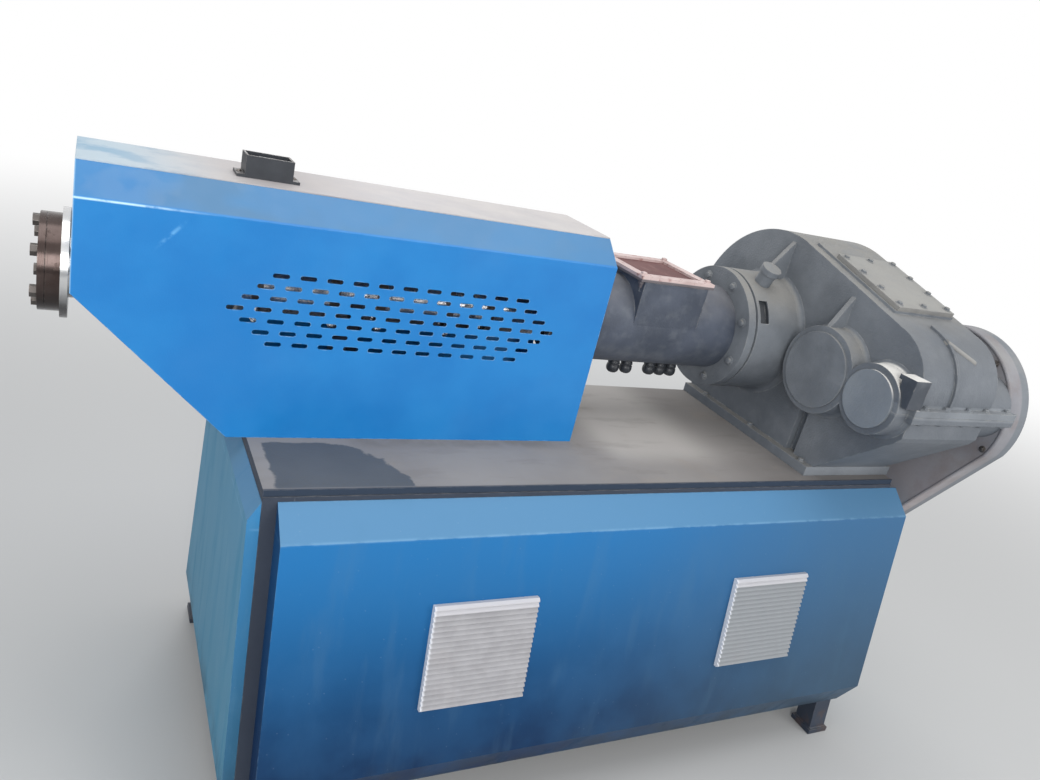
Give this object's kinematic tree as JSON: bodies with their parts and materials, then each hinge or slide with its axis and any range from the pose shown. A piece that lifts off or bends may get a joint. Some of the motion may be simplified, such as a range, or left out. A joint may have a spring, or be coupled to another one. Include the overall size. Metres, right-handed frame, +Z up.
{
  "type": "single-screw plastic extruder",
  "caption": "Single-screw plastic extruder: a hooded heated barrel, feed section and helical gearbox on a closed sheet-metal base.",
  "frame": {"origin": "on the floor under the middle of the machine's bounding box", "axes": "+X along the screw from the die end to the drive end, +Y away from the operator side, +Z up"},
  "size_m": [1.908, 0.778, 1.15],
  "materials": {
    "hood_blue": "bright blue spray paint, satin, smudged and finely scratched",
    "panel_blue": "blue spray paint, satin, dusty towards the floor",
    "hood_top_pale": "pale dust-coated paint",
    "frame_dark": "near-black frame paint, dusty",
    "table_grey": "worn grey plate under brown dust with a wiped dark patch",
    "grille_white": "off-white moulded louvre",
    "barrel_steel": "turned steel",
    "adapter_steel": "heat-browned turned steel",
    "bolt_steel": "dark steel",
    "band_steel": "bright heater band sheet",
    "feed_grey": "dark blue-grey paint, matt",
    "hopper_rim": "pale primed rim",
    "cover_red": "red oxide primer, matt",
    "cast_grey": "grey painted casting with pale dust on top",
    "cover_grey": "pale dusty grey paint",
    "fitting_black": "black moulded plastic",
    "motor_blue": "blue-grey motor paint",
    "guard_brown": "grey sheet under brown dust"
  },
  "bodies": {
    "root": {"frame_posts": "frame_dark", "frame_long_rails": "frame_dark", "frame_cross_rails": "frame_dark", "foot_pads": "frame_dark", "table_top": "table_grey", "front_panel": "panel_blue", "rear_panel": "panel_blue", "left_end_panel": "panel_blue", "right_end_panel": "panel_blue", "front_grille_left": "grille_white", "front_grille_right": "grille_white", "motor": "motor_blue", "hood_front_side": "hood_blue", "hood_rear_side": "hood_blue", "hood_top": "hood_top_pale", "hood_die_end": "hood_blue", "hood_feed_end": "hood_blue", "connector_base": "fitting_black", "barrel": "barrel_steel", "barrel_flange": "barrel_steel", "adapter_ring": "adapter_steel", "flange_bolts": "bolt_steel", "screw": "barrel_steel", "heater_bands": "band_steel", "barrel_support": "frame_dark", "feed_throat": "feed_grey", "hopper_flange": "hopper_rim", "inlet_cover": "cover_red", "water_fittings": "fitting_black", "bearing_housing": "cast_grey", "grease_cup": "cast_grey", "gearbox_base": "cast_grey", "gearbox_cover": "cast_grey", "inspection_cover": "cover_grey", "bearing_cap_mid": "cast_grey", "bearing_cap_input": "cast_grey", "rear_bearing_caps": "cast_grey", "input_shaft": "barrel_steel", "oil_level_cup": "cast_grey", "belt_guard": "guard_brown", "guard_backplate": "guard_brown"}
  },
  "joints": []
}
